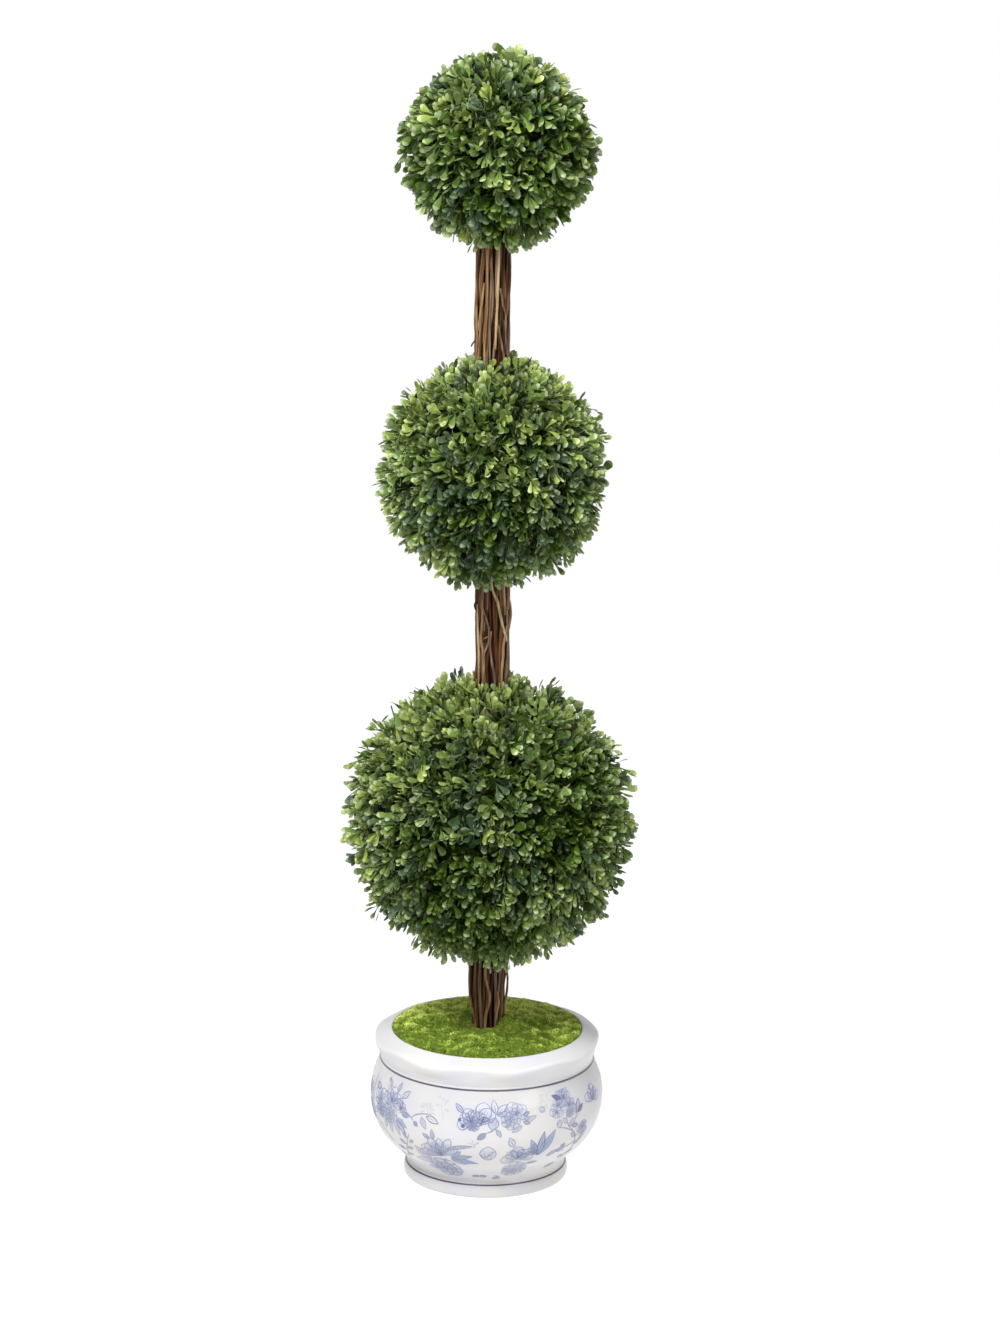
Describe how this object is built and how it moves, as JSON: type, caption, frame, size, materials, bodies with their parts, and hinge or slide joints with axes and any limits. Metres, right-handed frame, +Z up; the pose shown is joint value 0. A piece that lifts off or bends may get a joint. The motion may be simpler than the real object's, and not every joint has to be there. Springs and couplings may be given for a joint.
{
  "type": "artificial three-ball topiary in a glazed pot",
  "caption": "Artificial potted topiary: clipped leaf balls, shrinking upwards, on a bundled-vine trunk in a round white-and-blue glazed pot topped with moss.",
  "frame": {"origin": "centre of the pot's flat underside, on the ground", "axes": "+Z up along the trunk; -Y towards the picture's viewer, +X to the viewer's right"},
  "size_m": [0.2961, 0.3007, 1.1921],
  "materials": {
    "glazed pot": "gloss",
    "filler": "matte",
    "moss": "matte",
    "trunk": "matte",
    "foliage": "satin"
  },
  "bodies": {
    "root": {"pot": "glazed pot", "filler": "filler", "moss": "moss", "trunk": "trunk", "ball_bottom": "foliage", "ball_middle": "foliage", "ball_top": "foliage"}
  },
  "joints": []
}
